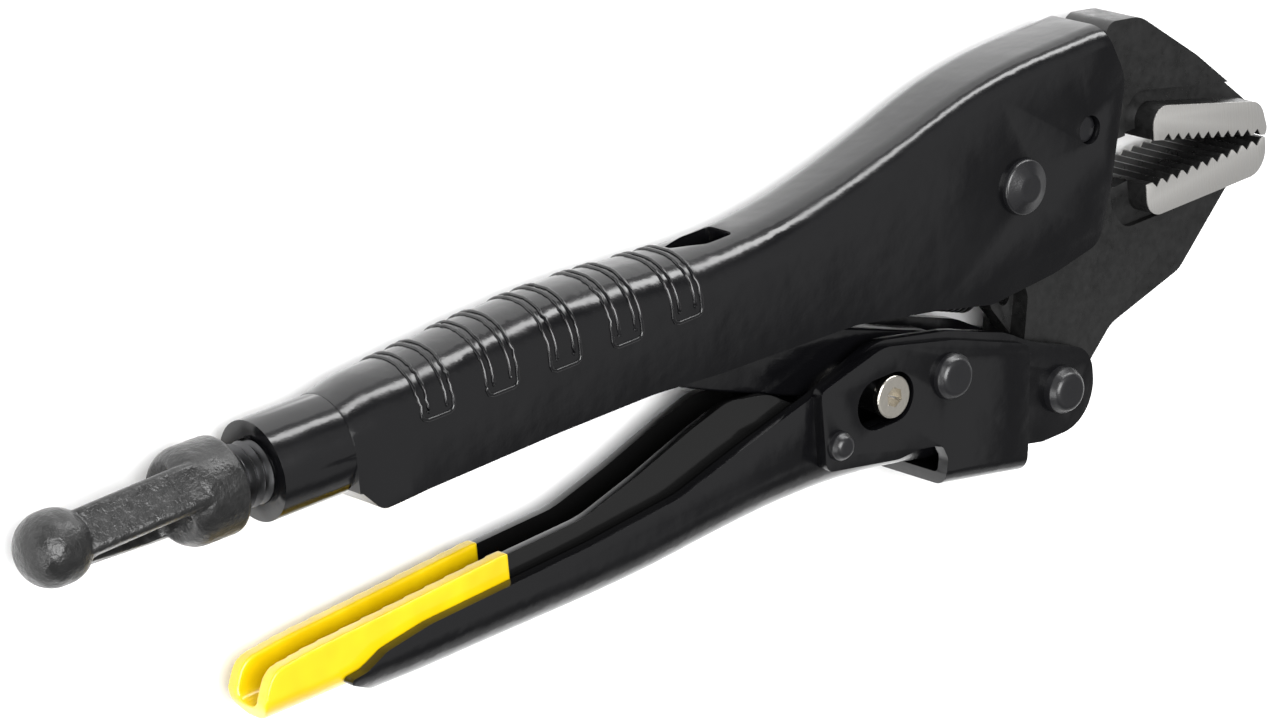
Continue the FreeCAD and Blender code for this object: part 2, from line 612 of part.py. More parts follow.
def make_toggle_link():
    """Bar from its rivet in the lower handle back to the tip of the adjusting screw."""
    body = new_body("toggle_link")
    reach = LINK_END - LINK_PIVOT
    length = reach.Length
    angle = math.degrees(math.atan2(reach.y, reach.x))
    half = size("link_half_height")
    rear = size("link_rear_radius")
    turn = FreeCAD.Placement(LINK_PIVOT, Rotation(Vector(0, 0, 1), angle))
    flat = [(-half - 0.6, -half - 0.6, half + 0.5), (length * 0.62, -half, 20),
            (length + rear, -rear, rear - 0.05), (length + rear, rear, rear - 0.05),
            (length * 0.62, half, 20), (-half - 0.6, half + 0.6, half + 0.5)]
    placed = []
    for x, y, radius in flat:
        at = turn.multVec(Vector(x, y, 0))
        placed.append((at.x, at.y, radius))
    pad(body, sketch_on(body, "link_plate", "XY_Plane", rounded(placed)), "Sizes.link_plate")
    hole(body, "link_pivot_hole", LINK_PIVOT.x, LINK_PIVOT.y,
         "Sizes.link_pivot_radius + Sizes.running_fit")
    # hollow under the link that rests over the stop, long enough for the stop's travel
    clear = size("stop_radius") + size("stop_gap")
    low = STOP.y - 12
    flare = (STOP.y - low) * 0.5
    notch = rounded([(STOP.x + clear + flare, low), (STOP.x + clear, STOP.y, 1.0),
                     (STOP.x + clear, STOP.y + clear, clear - 0.8),
                     (STOP.x - size("slot_travel") - clear, STOP.y + clear, clear - 0.01),
                     (STOP.x - size("slot_travel") - clear, low)])
    pocket(body, sketch_on(body, "link_notch", "XY_Plane", notch), "Sizes.link_plate + 2")
    return body


def make_link_spacers():
    """One plain washer each side of the link, out to the lower handle's walls."""
    inner = size("link_plate") / 2 + 0.1
    washers = []
    for low in (inner, -WALL):
        ring = rod(LINK_PIVOT.x, LINK_PIVOT.y, size("link_pivot_head") + 1.1, low,
                   low + WALL - inner)
        washers.append(ring.cut(rod(LINK_PIVOT.x, LINK_PIVOT.y, size("link_pivot_radius"),
                                    -ABOVE, ABOVE)))
    return formed("link_spacers", Part.makeCompound(washers))


def make_stop():
    """Sleeve with a head on the far side, and the hexagon-socket screw in it."""
    radius = size("stop_radius")
    bore = 1.65
    near = SADDLE_SIDE - 0.1
    head = 1.3
    turned("stop_sleeve", [
        (bore, -SADDLE_SIDE + 1.0), (0, -SADDLE_SIDE + 1.0), (0, -SADDLE_SIDE - 1.1),
        (size("slot_radius") + 1.3, -SADDLE_SIDE - 1.1, 0.4),
        (size("slot_radius") + 1.3, -SADDLE_SIDE - 0.3), (radius, -SADDLE_SIDE - 0.3),
        (radius, near - head), (bore, near - head)], STOP.x, STOP.y)
    screw = turned("stop_screw", [
        (0, near - 11.0), (bore, near - 11.0, 0.3), (bore, near - head),
        (size("stop_head"), near - head), (size("stop_head"), near, 0.35), (0, near)],
        STOP.x, STOP.y)
    socket = size("stop_socket") / math.sqrt(3)
    corners = [Vector(math.cos(math.radians(60 * i + 30)), math.sin(math.radians(60 * i + 30)), 0)
               * socket for i in range(6)]
    shapes = [Part.LineSegment(corners[i], corners[(i + 1) % 6]) for i in range(6)]
    sketch = sketch_on(screw, "socket_outline", "XY_Plane", shapes)
    sketch.AttachmentOffset = FreeCAD.Placement(Vector(0, 0, near), Rotation())
    before = screw.Shape.Volume
    cut = screw.newObject("PartDesign::Pocket", "socket_pocket")
    cut.Profile = sketch
    cut.Length = 2.2
    doc.recompute()
    if screw.Shape.Volume >= before:
        raise ValueError("the screw's socket cuts nothing")


# ---------------------------------------------------------------- rivets

def rivet(name, centre, shank, head, side, domed, rise=size("head_height")):
    """A rivet across the tool, with a raised head on the near side and a flat one behind."""
    far = size("far_head_height")
    crown = 0.95 if domed else 0.62
    profile = [
        (0, -side - far), (head - 0.3, -side - far, 0.3), (head, -side), (shank, -side),
        (shank, side), (head, side), (head - 0.1, side + rise * 0.42, 0.6),
        (head * crown - 0.8, side + rise, 1.2), (0, side + rise)]
    return turned(name, profile, centre.x, centre.y)


def make_rivets():
    rivet("jaw_pivot_rivet", JAW_PIVOT, size("jaw_pivot_radius"), size("jaw_pivot_head"),
          HANDLE_SIDE, False)
    rivet("lever_pivot_rivet", LEVER_PIVOT, size("lever_pivot_radius"),
          size("lever_pivot_head"), LOWER_SIDE, True, size("lever_head_height"))
    rivet("link_pivot_rivet", LINK_PIVOT, size("link_pivot_radius"), size("link_pivot_head"),
          SADDLE_SIDE, True)
    rivet("release_pivot_rivet", RELEASE_PIVOT, size("release_pivot_radius"),
          size("release_pivot_head"), SADDLE_SIDE, True)
    sunk = 1.0
    turned("fixed_jaw_pin", [
        (0, -HANDLE_SIDE + sunk), (size("jaw_pin_radius"), -HANDLE_SIDE + sunk, 0.4),
        (size("jaw_pin_radius"), HANDLE_SIDE - sunk, 0.6), (0, HANDLE_SIDE - sunk)],
        size("jaw_pin_x"), size("jaw_pin_y"))


# ---------------------------------------------------------------- adjusting screw

TIP_LENGTH = 4.5
SPIGOT = 3.0


def make_adjusting_screw():
    """Threaded rod, drawn plain over its crests, with a spigot that the tip turns on."""
    front = LINK_END.x - size("link_rear_radius") - size("link_end_gap") - TIP_LENGTH
    back = -size("boss_gap")
    screw = along(back - 8.0, front, size("rod_radius"))
    screw = screw.fuse(along(front, front + SPIGOT, 2.5))
    formed("screw_rod", screw.removeSplitter())
    tip = along(front + 0.15, front + TIP_LENGTH, size("rod_radius") - 0.35)
    tip = tip.cut(along(front, front + SPIGOT + 0.3, 2.5 + size("running_fit")))
    edges = [edge for edge in tip.Edges if edge.BoundBox.XMin > front + TIP_LENGTH - 0.01]
    formed("screw_tip", tip.makeFillet(1.2, edges))


def make_torque_head():
    """Forged head on the rear of the screw: a boss, two arms that close on a round knob."""
    boss = size("boss_radius")
    front = -size("boss_gap")
    rear = front - size("boss_length")
    profile = face_of([(rear, 0), (rear, boss, 4.2), (front, boss, 1.2), (front, 0)])
    body = profile.revolve(Vector(), Vector(1, 0, 0), 360)
    knob_x = -size("knob_reach")
    knob = size("knob_radius")
    high = size("arm_height") / 2
    # the arms end inside the boss, clear of its rounded front rim
    outline = [(front - 1.5, -boss + 1.0, 1.5), (rear, -boss + 0.3, 6), (knob_x + 4, -4.3, 10),
               (knob_x - 2.0, -2.0, 1.5), (knob_x - 2.0, 2.0, 1.5), (knob_x + 4, 4.3, 10),
               (rear, boss - 0.3, 6), (front - 1.5, boss - 1.0, 1.5)]
    arms = face_of(outline)
    arms.translate(Vector(0, 0, -high))
    arms = arms.extrude(Vector(0, 0, 2 * high))
    rims = [edge for edge in arms.Edges
            if abs(edge.BoundBox.ZMax - edge.BoundBox.ZMin) < 1e-6]
    arms = arms.makeFillet(1.1, rims)
    window = face_of([(rear + 1.0, -4.4, 1.6), (rear + 1.0, 4.4, 1.6), (rear - 3.5, 4.2, 5),
                      (knob_x + knob - 0.5, 1.3, 1.2), (knob_x + knob - 0.5, -1.3, 1.2),
                      (rear - 3.5, -4.2, 5)])
    window.translate(Vector(0, 0, -ABOVE))
    window = window.extrude(Vector(0, 0, 2 * ABOVE))
    # the loop's outline lies in XY; stand it up and turn it to where the screw is set
    for turned_piece in (arms, window):
        turned_piece.rotate(Vector(), Vector(1, 0, 0), 90 - size("head_turn"))
    # the knob is slightly flattened at its ends, so no face of it closes on a point
    round_knob = face_of([(knob_x - knob, 0), (knob_x - knob, knob, knob - 0.5),
                          (knob_x + knob, knob, knob - 0.5), (knob_x + knob, 0)])
    round_knob = round_knob.revolve(Vector(), Vector(1, 0, 0), 360)
    head = body.fuse(arms).fuse(round_knob)
    head = head.cut(window)
    head = head.cut(along(front - 8.0, front + 1, size("rod_radius")))
    formed("torque_head", head.removeSplitter())


# ---------------------------------------------------------------- spring

def make_spring():
    """Closed envelope of the coil, with a ring at each end through the jaw and the tongue."""
    wire = size("spring_wire") / 2
    hook = size("spring_hook")
    front = Vector(size("spring_eye_x"), size("spring_eye_y"), 0)
    back = Vector(size("spring_tab_x") + 1.35, size("spring_tab_y") - hook, 0)
    pull = (back - front).normalize()
    length = (back - front).Length
    up = Vector(-pull.y, pull.x, 0)
    # the front ring stands across the jaw's plate, the rear one lies in the tool's middle
    front_ring = Part.makeTorus(hook, wire, front + pull * hook, up)
    rear_ring = Part.makeTorus(hook, wire, back, Vector(0, 0, 1))
    coil_start = front + pull * (2 * hook + 2.0)
    coil_end = front + pull * (length - hook - 2.0)
    coil_length = (coil_end - coil_start).Length
    outer = size("spring_radius")
    coil = Part.makeCylinder(outer, coil_length, coil_start, pull)
    coil = coil.cut(Part.makeCylinder(outer - 2 * wire, coil_length, coil_start, pull))
    # the straight leads are a little thinner, so that no two round faces touch along a line
    lead = wire * 0.8
    leads = []
    for ring_point, coil_point, inward in ((front + pull * (2 * hook), coil_start, pull),
                                           (back - pull * hook, coil_end, pull * -1)):
        stretch = (coil_point - ring_point).Length + 4 * wire
        leads.append(Part.makeCylinder(lead, stretch, ring_point, inward))
        leads.append(Part.makeCylinder(lead * 0.9, outer - wire, coil_point + inward * 2 * wire,
                                       up))
    spring = coil.fuse([front_ring, rear_ring] + leads)
    formed("jaw_spring", spring.removeSplitter())


# ---------------------------------------------------------------- all pieces

make_fixed_handle()
make_fixed_jaw()
make_movable_jaw()
make_lower_handle()
make_saddle()
make_release_lever()
make_release_coating()
make_toggle_link()
make_link_spacers()
make_stop()
make_rivets()
make_adjusting_screw()
make_torque_head()
make_spring()
doc.recompute()

NODES = [thing for thing in doc.Objects
         if thing.TypeId in ("PartDesign::Body", "Part::Feature")]

for thing in doc.Objects:
    if "Invalid" in thing.State or "Error" in thing.State:
        raise ValueError(f"{thing.Name} did not recompute: {thing.State}")

box = FreeCAD.BoundBox()
for node in NODES:
    if node.Shape.isNull() or not node.Shape.isValid():
        raise ValueError(f"{node.Label} has no valid shape")
    box.add(node.Shape.optimalBoundingBox(False))

# the tool lies on Z = 0 with the middle of its outline over the origin
offset = Vector(-box.Center.x, -box.Center.y, -box.ZMin)
os.makedirs("parts", exist_ok=True)
for node in NODES:
    node.Placement = FreeCAD.Placement(offset, Rotation()).multiply(node.Placement)
doc.recompute()
for node in NODES:
    node.Shape.exportStep(f"parts/{node.Label}.step")
    solids = len(node.Shape.Solids)
    print(f"{node.Label:22s} solids {solids}  volume {node.Shape.Volume:9.1f} mm3")
print(f"size {box.XLength:.2f} x {box.YLength:.2f} x {box.ZLength:.2f} mm")
print(f"offset {offset.x:.4f} {offset.y:.4f} {offset.z:.4f}")
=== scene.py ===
# %% [markdown]
# # Locking pliers
# A hand tool of pressed black sheet, two forged jaws and a toggle, lying on its side.
# Its solids come packed from CAD and are a fixed frame: their places and sizes don't change
# here. What Blender adds is the look: soft edges, finishes, and the details that a solid
# model leaves plain, which are the thread, the coil spring and the ribs of the grip.

# %% Load the frame
import math
import json

import bpy
import bmesh
from mathutils import Matrix, Vector
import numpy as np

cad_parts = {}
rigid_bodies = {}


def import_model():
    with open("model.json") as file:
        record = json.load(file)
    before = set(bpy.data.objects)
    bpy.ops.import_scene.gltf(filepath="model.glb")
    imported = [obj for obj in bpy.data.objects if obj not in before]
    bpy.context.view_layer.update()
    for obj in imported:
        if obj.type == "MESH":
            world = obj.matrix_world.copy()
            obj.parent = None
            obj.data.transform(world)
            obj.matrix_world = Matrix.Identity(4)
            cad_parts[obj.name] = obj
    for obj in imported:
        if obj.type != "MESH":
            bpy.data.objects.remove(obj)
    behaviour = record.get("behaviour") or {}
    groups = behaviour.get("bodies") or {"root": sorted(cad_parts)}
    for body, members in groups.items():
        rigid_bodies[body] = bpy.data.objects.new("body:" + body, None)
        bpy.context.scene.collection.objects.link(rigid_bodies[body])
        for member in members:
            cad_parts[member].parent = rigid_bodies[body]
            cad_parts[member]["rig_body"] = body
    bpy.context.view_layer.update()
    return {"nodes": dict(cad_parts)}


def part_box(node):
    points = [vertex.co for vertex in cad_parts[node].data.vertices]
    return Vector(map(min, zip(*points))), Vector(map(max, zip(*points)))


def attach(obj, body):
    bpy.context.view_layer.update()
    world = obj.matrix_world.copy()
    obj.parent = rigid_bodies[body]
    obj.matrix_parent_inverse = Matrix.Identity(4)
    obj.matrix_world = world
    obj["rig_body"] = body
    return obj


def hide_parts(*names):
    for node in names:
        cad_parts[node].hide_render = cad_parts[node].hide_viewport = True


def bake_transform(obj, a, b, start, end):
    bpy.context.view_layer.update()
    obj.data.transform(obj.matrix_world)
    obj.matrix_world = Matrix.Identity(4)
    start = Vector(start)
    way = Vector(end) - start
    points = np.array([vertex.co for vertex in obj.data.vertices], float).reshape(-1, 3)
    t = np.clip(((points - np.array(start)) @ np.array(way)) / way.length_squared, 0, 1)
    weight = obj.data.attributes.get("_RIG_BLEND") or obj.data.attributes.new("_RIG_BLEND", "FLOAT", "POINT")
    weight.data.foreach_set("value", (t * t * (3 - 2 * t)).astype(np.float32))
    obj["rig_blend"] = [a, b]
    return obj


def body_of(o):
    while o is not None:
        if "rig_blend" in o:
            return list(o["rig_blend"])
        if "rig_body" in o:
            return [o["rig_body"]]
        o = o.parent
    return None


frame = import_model()
nodes = frame["nodes"]
print("pieces in the frame:", len(nodes))

# %% [markdown]
# The tool has a frame of its own: X along the adjusting screw, Y up to the spine, Z across.
# Its origin is on the screw's axis at the rear rim of the handle's tube, so every place below
# is measured from there in millimetres and moved once. The boxes of two solids give that point,
# so nothing here has to be typed again if the tool is packed anew.

# %% Tool frame
MM = 0.001
rod_low, rod_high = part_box("screw_rod")
axis_middle = (rod_low + rod_high) / 2
handle_low, handle_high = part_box("fixed_handle")
ORIGIN = Vector((handle_low.x, axis_middle.y, axis_middle.z))
print("tool origin in millimetres:", [round(c * 1000, 3) for c in ORIGIN])


def place(x, y, z):
    """A point of the tool, given in millimetres, in the scene's metres."""
    return ORIGIN + Vector((x, y, z)) * MM


def tool_box(node):
    """A solid's lowest and highest corner in the tool's millimetres."""
    low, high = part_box(node)
    return (low - ORIGIN) / MM, (high - ORIGIN) / MM


# %% [markdown]
# A finish is a small tree of shader nodes. Each one starts from the same few steps, so a
# helper makes a node and fills its sockets by name. Patterns read Object coordinates: the
# pieces sit unturned at the origin, so those are metres in the tool's own directions, and a
# pattern has its real size and stays on the piece when it moves.

# %% Node helpers
def add(tree, kind, **settings):
    """One node; settings whose name is an input's fill that input, others set the node."""
    node = tree.nodes.new(kind)
    for key, value in settings.items():
        socket = key.replace("_", " ")
        if socket in node.inputs:
            node.inputs[socket].default_value = value
        else:
            setattr(node, key, value)
    return node


def new_material(name, **settings):
    """A material with a Principled shader; settings are values of the shader's sockets."""
    made = bpy.data.materials.new(name)
    made.use_nodes = True
    shader = made.node_tree.nodes["Principled BSDF"]
    for socket, value in settings.items():
        shader.inputs[socket.replace("_", " ")].default_value = value
    return made, made.node_tree, shader


def coordinates(tree, scale=(1, 1, 1), turn=(0, 0, 0)):
    """Object coordinates in metres, stretched and turned by a Mapping node."""
    source = add(tree, "ShaderNodeTexCoord")
    mapping = add(tree, "ShaderNodeMapping", Scale=scale, Rotation=turn)
    tree.links.new(source.outputs["Object"], mapping.inputs["Vector"])
    return mapping.outputs["Vector"]


def noise(tree, vector, scale, detail=3.0, roughness=0.5):
    """Cloudy noise with so many lumps to the metre."""
    node = add(tree, "ShaderNodeTexNoise", Scale=scale, Detail=detail, Roughness=roughness)
    tree.links.new(vector, node.inputs["Vector"])
    return node.outputs["Fac"]


def ramp(tree, value, stops):
    """A colour ramp from (position, grey or colour) stops."""
    node = add(tree, "ShaderNodeValToRGB")
    while len(node.color_ramp.elements) < len(stops):
        node.color_ramp.elements.new(0.5)
    for element, (position, colour) in zip(node.color_ramp.elements, stops):
        element.position = position
        if not hasattr(colour, "__len__"):
            colour = (colour, colour, colour)
        element.color = (*colour, 1.0)
    tree.links.new(value, node.inputs["Fac"])
    return node.outputs["Color"]


def bump(tree, height, distance, strength=1.0, below=None):
    """A bump of a real height in metres, over another one if below is given."""
    node = add(tree, "ShaderNodeBump", Strength=strength, Distance=distance)
    tree.links.new(height, node.inputs["Height"])
    if below is not None:
        tree.links.new(below, node.inputs["Normal"])
    return node.outputs["Normal"]


def mixed(tree, factor, first, second):
    """A colour between two, each a colour or a socket."""
    node = add(tree, "ShaderNodeMix", data_type="RGBA")
    tree.links.new(factor, node.inputs["Factor"])
    for socket, value in (("A", first), ("B", second)):
        place_in = [i for i in node.inputs if i.name == socket and i.type == "RGBA"][0]
        if isinstance(value, bpy.types.NodeSocket):
            tree.links.new(value, place_in)
        else:
            place_in.default_value = (*value, 1.0)
    return [o for o in node.outputs if o.type == "RGBA"][0]


print("shader helpers are ready")

# %% [markdown]
# The handles, the saddle and the lever wear a smooth black lacquer. It could be one even
# black, but a dipped lacquer runs a little, so its gloss changes slowly along the piece and a
# very low wave bends its highlights. The waves are centimetres long and hundredths of a
# millimetre high: any coarser and the sheet would look hammered.

# %% Black lacquer
def lacquer(name, colour, dull, bright, wave, grain):
    """Glossy paint: roughness from bright to dull, a slow wave and a fine grain in metres."""
    made, tree, shader = new_material(name, Base_Color=(*colour, 1), Specular_IOR_Level=0.5)
    at = coordinates(tree)
    slow = noise(tree, at, 90.0, 2.0)
    tree.links.new(ramp(tree, slow, [(0.3, bright), (0.75, dull)]), shader.inputs["Roughness"])
    waves = bump(tree, noise(tree, at, 160.0, 2.0), wave)
    tree.links.new(bump(tree, noise(tree, at, 1800.0, 2.0), grain, below=waves),
                   shader.inputs["Normal"])
    return made


black_paint = lacquer("black_paint", (0.0025, 0.0025, 0.003), 0.24, 0.13, 0.00014, 0.00001)
lever_black = lacquer("lever_black", (0.003, 0.003, 0.003), 0.2, 0.12, 0.00006, 0.000004)
rivet_black = lacquer("rivet_black", (0.006, 0.006, 0.007), 0.36, 0.24, 0.00012, 0.00002)
print("lacquers:", black_paint.name, lever_black.name, rivet_black.name)

# %% [markdown]
# The jaws are forgings: under the same black their skin is lumpier, and the sides of the two
# pads are ground to bare steel after painting. Only those sides stand further out than the
# jaw's plate, so a mask made from the height above the tool's middle tells them apart. The
# grinding leaves fine lines along the jaw, which a noise stretched along X gives.

# %% Forged jaws with ground pads
pad_low, pad_high = tool_box("fixed_jaw")
PAD_SIDE = pad_high.z * MM


def forged(name, ground, lump, dull=0.38):
    """Forged black skin; ground is how far out the bare steel starts, or None."""
    made, tree, shader = new_material(name, Specular_IOR_Level=0.5)
    at = coordinates(tree)
    skin = ramp(tree, noise(tree, at, 500.0, 4.0, 0.6), [(0.35, dull - 0.12), (0.7, dull + 0.04)])
    black = ramp(tree, noise(tree, at, 900.0, 3.0), [(0.3, 0.004), (0.75, 0.009)])
    lumps = bump(tree, noise(tree, at, 420.0, 4.0, 0.6), lump)
    if ground is None:
        tree.links.new(black, shader.inputs["Base Color"])
        tree.links.new(skin, shader.inputs["Roughness"])
        tree.links.new(lumps, shader.inputs["Normal"])
        return made
    source = add(tree, "ShaderNodeTexCoord")
    split = add(tree, "ShaderNodeSeparateXYZ")
    tree.links.new(source.outputs["Object"], split.inputs["Vector"])
    from_middle = add(tree, "ShaderNodeMath", operation="SUBTRACT")
    tree.links.new(split.outputs["Z"], from_middle.inputs[0])
    from_middle.inputs[1].default_value = ORIGIN.z
    outward = add(tree, "ShaderNodeMath", operation="ABSOLUTE")
    tree.links.new(from_middle.outputs["Value"], outward.inputs[0])
    bare = add(tree, "ShaderNodeMath", operation="GREATER_THAN")
    tree.links.new(outward.outputs["Value"], bare.inputs[0])
    bare.inputs[1].default_value = ground
    lines_at = coordinates(tree, scale=(1500, 120, 1500), turn=(0, 0, math.radians(8)))
    lines = noise(tree, lines_at, 1.0, 5.0, 0.7)
    steel_colour = ramp(tree, lines, [(0.3, (0.50, 0.49, 0.47)), (0.7, (0.74, 0.73, 0.71))])
    steel_rough = ramp(tree, lines, [(0.3, 0.55), (0.7, 0.4)])
    tree.links.new(mixed(tree, bare.outputs["Value"], black, steel_colour),
                   shader.inputs["Base Color"])
    tree.links.new(mixed(tree, bare.outputs["Value"], skin, steel_rough),
                   shader.inputs["Roughness"])
    tree.links.new(bare.outputs["Value"], shader.inputs["Metallic"])
    scratch = bump(tree, lines, 0.00002)
    normal = add(tree, "ShaderNodeMix", data_type="VECTOR")
    tree.links.new(bare.outputs["Value"], normal.inputs["Factor"])
    vectors = [i for i in normal.inputs if i.type == "VECTOR"]
    tree.links.new(lumps, vectors[0])
    tree.links.new(scratch, vectors[1])
    tree.links.new([o for o in normal.outputs if o.type == "VECTOR"][0], shader.inputs["Normal"])
    return made


jaw_finish = forged("jaw_black", PAD_SIDE - 0.0002, 0.00012)
forged_black = forged("forged_black", None, 0.0004, 0.42)
print("bare steel starts", round((PAD_SIDE - 0.0002) * 1000, 2), "mm from the tool's middle")

# %% [markdown]
# The lever's tip is dipped in yellow plastisol, a soft glossy coat with rounded rims. A clear
# coat over a saturated yellow gives its wet highlights. The hexagon-socket screw is nickel
# plated, and the adjusting screw, its tip and the spring are dark oiled steel.

# %% Yellow coat, nickel and oiled steel
coating, coating_tree, coating_shader = new_material(
    "lever_coating", Base_Color=(0.6, 0.42, 0.0, 1), Roughness=0.3, Coat_Weight=0.5,
    Coat_Roughness=0.1)
coating_at = coordinates(coating_tree)
coating_tree.links.new(
    ramp(coating_tree, noise(coating_tree, coating_at, 120.0, 2.0),
         [(0.3, (0.56, 0.38, 0.0)), (0.75, (0.66, 0.47, 0.002))]),
    coating_shader.inputs["Base Color"])
coating_tree.links.new(bump(coating_tree, noise(coating_tree, coating_at, 220.0, 2.0), 0.0001),
                       coating_shader.inputs["Normal"])


def metal(name, colour, rough, grain):
    """Bare or plated metal with a fine grain."""
    made, tree, shader = new_material(name, Base_Color=(*colour, 1), Metallic=1.0,
                                      Roughness=rough)
    tree.links.new(bump(tree, noise(tree, coordinates(tree), 1500.0, 3.0), grain),
                   shader.inputs["Normal"])
    return made


nickel = metal("nickel", (0.80, 0.76, 0.68), 0.18, 0.00001)
oiled_steel = metal("screw_steel", (0.06, 0.06, 0.062), 0.34, 0.00003)
spring_steel = metal("spring_steel", (0.05, 0.05, 0.052), 0.3, 0.00001)
print("metals:", nickel.name, oiled_steel.name, spring_steel.name)

# %% [markdown]
# Every solid gets its finish here, before any copy is made of it, so that the copies inherit it.
# One table says which piece is painted, forged, plated or bare. The rivets and the pin are alike,
# so they are not listed: whatever the table leaves out takes the rivets' black.

# %% Finishes on the solids
FINISH = {
    "fixed_handle": black_paint, "lower_handle": black_paint, "saddle_plate": black_paint,
    "toggle_link": black_paint, "release_lever": lever_black, "release_tip_coating": coating,
    "fixed_jaw": jaw_finish, "movable_jaw": jaw_finish, "torque_head": forged_black,
    "stop_screw": nickel, "screw_tip": oiled_steel, "screw_rod": oiled_steel,
    "jaw_spring": spring_steel, "stop_sleeve": oiled_steel, "link_spacers": oiled_steel}
for name, node in nodes.items():
    node.data.materials.clear()
    node.data.materials.append(FINISH.get(name, rivet_black))
print("finishes given to", len(nodes), "solids")

# %% [markdown]
# Sheet that has been cut, tumbled and painted has no sharp edge: each one catches a thin line
# of light. The solids have mathematically sharp edges. A bevel modifier can round them, but a
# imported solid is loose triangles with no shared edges, so a copy is merged first, its flat
# faces are joined, and the bevel takes only edges that turn by more than a third of a right
# angle. The copy then stands for the solid.

# %% Soft edges
def merged_copy(node, name):
    """A copy of a solid with its doubles merged and its flat faces joined."""
    made = bpy.data.objects.new(name, nodes[node].data.copy())
    bpy.context.scene.collection.objects.link(made)
    work = bmesh.new()
    work.from_mesh(made.data)
    bmesh.ops.remove_doubles(work, verts=work.verts, dist=2e-6)
    bmesh.ops.dissolve_limit(work, angle_limit=math.radians(0.3), verts=work.verts,
                             edges=work.edges)
    work.to_mesh(made.data)
    work.free()
    return made


def as_plain_mesh(made):
    """Turns an object's modifiers into its own mesh."""
    bpy.context.view_layer.update()
    graph = bpy.context.evaluated_depsgraph_get()
    final = bpy.data.meshes.new_from_object(made.evaluated_get(graph))
    made.modifiers.clear()
    old = made.data
    made.data = final
    bpy.data.meshes.remove(old)
    return made


def shade(made, angle=32.0):
    """Smooth shading with the edges over an angle kept sharp."""
    made.data.shade_smooth()
    made.data.set_sharp_from_angle(angle=math.radians(angle))


def stand_for(made, node):
    """The piece rides where the solid rides and is shown in its place."""
    body = body_of(nodes[node])[0]
    if not made.data.materials:
        made.data.materials.append(FINISH.get(node, rivet_black))
    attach(made, body)
    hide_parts(node)
    return made


def softened(node, width, segments=3):
    """A merged copy of a solid with rounded edges; width in millimetres."""
    made = merged_copy(node, node + "_soft")
    bevel = made.modifiers.new("edges", "BEVEL")
    bevel.width = width * MM
    bevel.segments = segments
    bevel.limit_method = "ANGLE"
    bevel.angle_limit = math.radians(32)
    bevel.use_clamp_overlap = True
    as_plain_mesh(made)
    shade(made)
    stand_for(made, node)
    print(f"{made.name:24s} {len(made.data.polygons):6d} faces")
    return made


for node, width in (("fixed_handle", 0.45), ("lower_handle", 0.4), ("saddle_plate", 0.5),
                    ("release_lever", 0.3), ("fixed_jaw", 0.12), ("movable_jaw", 0.12),
                    ("toggle_link", 0.4)):
    softened(node, width)

# %% [markdown]
# Whatever repeats is made by Geometry Nodes: the thread and the coil are helices, the ribs are
# one group repeated along the grip. A helper starts a tree with named inputs for its sizes,
# and another runs it on an object and keeps the result as a plain mesh, because the pieces
# that ride on bodies have to be real meshes with their place in their vertices.

# %% Geometry Nodes helpers
def new_tree(name, **inputs):
    """A geometry tree with float inputs; returns the tree, its input node and output node."""
    tree = bpy.data.node_groups.new(name, "GeometryNodeTree")
    tree.interface.new_socket("Geometry", in_out="INPUT", socket_type="NodeSocketGeometry")
    tree.interface.new_socket("Geometry", in_out="OUTPUT", socket_type="NodeSocketGeometry")
    for key, value in inputs.items():
        socket = tree.interface.new_socket(key, in_out="INPUT", socket_type="NodeSocketFloat")
        socket.default_value = value
    return tree, tree.nodes.new("NodeGroupInput"), tree.nodes.new("NodeGroupOutput")


def value_of(tree, operation, first, second):
    """A Math node on two numbers or sockets."""
    node = tree.nodes.new("ShaderNodeMath")
    node.operation = operation
    for socket, value in zip(node.inputs, (first, second)):
        if isinstance(value, bpy.types.NodeSocket):
            tree.links.new(value, socket)
        else:
            socket.default_value = value
    return node.outputs[0]


def grow(name, tree, source=None, **sizes):
    """Runs a tree on an object (or on nothing) and returns the result as a plain mesh object."""
    mesh = source.data if source else bpy.data.meshes.new(name)
    made = source or bpy.data.objects.new(name, mesh)
    made.name = name
    if source is None:
        bpy.context.scene.collection.objects.link(made)
    modifier = made.modifiers.new(name, "NODES")
    modifier.node_group = tree
    keys = {item.name: item.identifier for item in tree.interface.items_tree
            if item.in_out == "INPUT"}
    for key, value in sizes.items():
        modifier[keys[key]] = value
    as_plain_mesh(made)
    print(f"{name:24s} {len(made.data.polygons):6d} faces")
    return made


def finish_tree(tree, geometry, out, material):
    """Ends a tree in Realize Instances and Set Material."""
    real = tree.nodes.new("GeometryNodeRealizeInstances")
    painted = add(tree, "GeometryNodeSetMaterial", Material=material)
    tree.links.new(geometry, real.inputs["Geometry"])
    tree.links.new(real.outputs["Geometry"], painted.inputs["Geometry"])
    tree.links.new(painted.outputs["Geometry"], out.inputs["Geometry"])


# %% [markdown]
# The adjusting screw carries an M10 thread with a pitch of 1.5 mm. The solid is drawn plain over the
# crests, so the visible screw is a thinner core with a ridge wound round it. The ridge is a
# Spiral curve swept with a four-sided diamond: its sharp side points outwards whichever way
# round the profile is set, and half of it is buried in the core. The wound length, the
# turns and the radii are inputs.

# %% Screw thread
PITCH = 1.5
rod_from, rod_to = tool_box("screw_rod")
SPIGOT = 3.0
CREST = (rod_to.y - rod_from.y) / 2
DEPTH = 0.85


